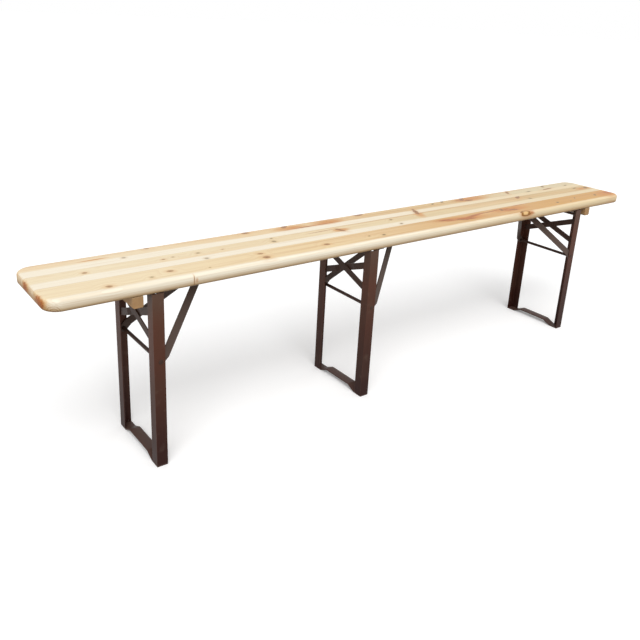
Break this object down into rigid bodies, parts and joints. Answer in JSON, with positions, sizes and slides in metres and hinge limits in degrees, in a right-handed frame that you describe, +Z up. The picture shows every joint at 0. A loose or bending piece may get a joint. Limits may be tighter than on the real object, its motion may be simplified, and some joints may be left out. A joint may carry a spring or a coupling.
{
  "type": "folding bench",
  "caption": "Long folding bench: a rounded, glued softwood board on angle-steel leg frames that fold flat under it, with crossed braces and forked struts that ride on guide bars.",
  "frame": {"origin": "on the floor under the middle of the board", "axes": "+X along the board towards the end with the wider clear span, +Y across the seat, +Z up"},
  "size_m": [2.2, 0.25, 0.51],
  "materials": {
    "board_wood": "glued spruce, planed and sanded, clear semi-gloss lacquer",
    "batten_wood": "sawn and planed softwood, no lacquer",
    "steel_paint": "dark red-brown semi-gloss stove enamel on steel",
    "spring_steel": "oiled spring steel"
  },
  "bodies": {
    "bench": {"plank_front": "board_wood", "plank_middle": "board_wood", "plank_back": "board_wood", "batten_left": "batten_wood", "batten_right": "batten_wood", "left_hinge_bracket_front": "steel_paint", "left_hinge_bracket_back": "steel_paint", "left_guide_bar": "steel_paint", "middle_hinge_bracket_front": "steel_paint", "middle_hinge_bracket_back": "steel_paint", "middle_guide_bar": "steel_paint", "right_hinge_bracket_front": "steel_paint", "right_hinge_bracket_back": "steel_paint", "right_guide_bar": "steel_paint"},
    "left_leg_frame": {"left_leg_front": "steel_paint", "left_leg_back": "steel_paint", "left_foot_bar": "steel_paint", "left_brace_flat": "steel_paint", "left_brace_cranked": "steel_paint", "left_hinge_axle": "steel_paint", "left_strut_rod": "steel_paint"},
    "left_strut": {"left_strut_arm_front": "steel_paint", "left_strut_arm_back": "steel_paint", "left_strut_fork": "steel_paint"},
    "left_catch": {"left_catch_spring": "spring_steel"},
    "middle_leg_frame": {"middle_leg_front": "steel_paint", "middle_leg_back": "steel_paint", "middle_foot_bar": "steel_paint", "middle_brace_flat": "steel_paint", "middle_brace_cranked": "steel_paint", "middle_hinge_axle": "steel_paint", "middle_strut_rod": "steel_paint"},
    "middle_strut": {"middle_strut_arm_front": "steel_paint", "middle_strut_arm_back": "steel_paint", "middle_strut_fork": "steel_paint"},
    "middle_catch": {"middle_catch_spring": "spring_steel"},
    "right_leg_frame": {"right_leg_front": "steel_paint", "right_leg_back": "steel_paint", "right_foot_bar": "steel_paint", "right_brace_flat": "steel_paint", "right_brace_cranked": "steel_paint", "right_hinge_axle": "steel_paint", "right_strut_rod": "steel_paint"},
    "right_strut": {"right_strut_arm_front": "steel_paint", "right_strut_arm_back": "steel_paint", "right_strut_fork": "steel_paint"},
    "right_catch": {"right_catch_spring": "spring_steel"}
  },
  "joints": [
    {"name": "left_frame_fold", "type": "hinge", "parent": "bench", "child": "left_leg_frame", "pos_m": [-0.832, 0, 0.46], "axis": [0, -1, 0], "range_deg": [0, 90]},
    {"name": "left_strut_fold", "type": "hinge", "parent": "left_leg_frame", "child": "left_strut", "pos_m": [-0.836, 0, 0.2975], "axis": [0, -1, 0], "range_deg": [-135, 0]},
    {"name": "left_catch_flex", "type": "hinge", "parent": "bench", "child": "left_catch", "pos_m": [-0.6071, 0, 0.48], "axis": [0, 1, 0], "range_deg": [0, 2.5], "stiffness_Nm_per_rad": 12},
    {"name": "middle_frame_fold", "type": "hinge", "parent": "bench", "child": "middle_leg_frame", "pos_m": [-0.1535, 0, 0.46], "axis": [0, -1, 0], "range_deg": [0, 90]},
    {"name": "middle_strut_fold", "type": "hinge", "parent": "middle_leg_frame", "child": "middle_strut", "pos_m": [-0.1575, 0, 0.2975], "axis": [0, -1, 0], "range_deg": [-135, 0]},
    {"name": "middle_catch_flex", "type": "hinge", "parent": "bench", "child": "middle_catch", "pos_m": [0.0714, 0, 0.48], "axis": [0, 1, 0], "range_deg": [0, 2.5], "stiffness_Nm_per_rad": 12},
    {"name": "right_frame_fold", "type": "hinge", "parent": "bench", "child": "right_leg_frame", "pos_m": [0.832, 0, 0.46], "axis": [0, 1, 0], "range_deg": [0, 90]},
    {"name": "right_strut_fold", "type": "hinge", "parent": "right_leg_frame", "child": "right_strut", "pos_m": [0.836, 0, 0.2975], "axis": [0, 1, 0], "range_deg": [-135, 0]},
    {"name": "right_catch_flex", "type": "hinge", "parent": "bench", "child": "right_catch", "pos_m": [0.6071, 0, 0.48], "axis": [0, -1, 0], "range_deg": [0, 2.5], "stiffness_Nm_per_rad": 12}
  ],
  "couplings": [
    {"joint": "left_strut_fold", "follows": "left_frame_fold", "ratio": -1.4756},
    {"joint": "middle_strut_fold", "follows": "middle_frame_fold", "ratio": -1.4756},
    {"joint": "right_strut_fold", "follows": "right_frame_fold", "ratio": -1.4756}
  ]
}
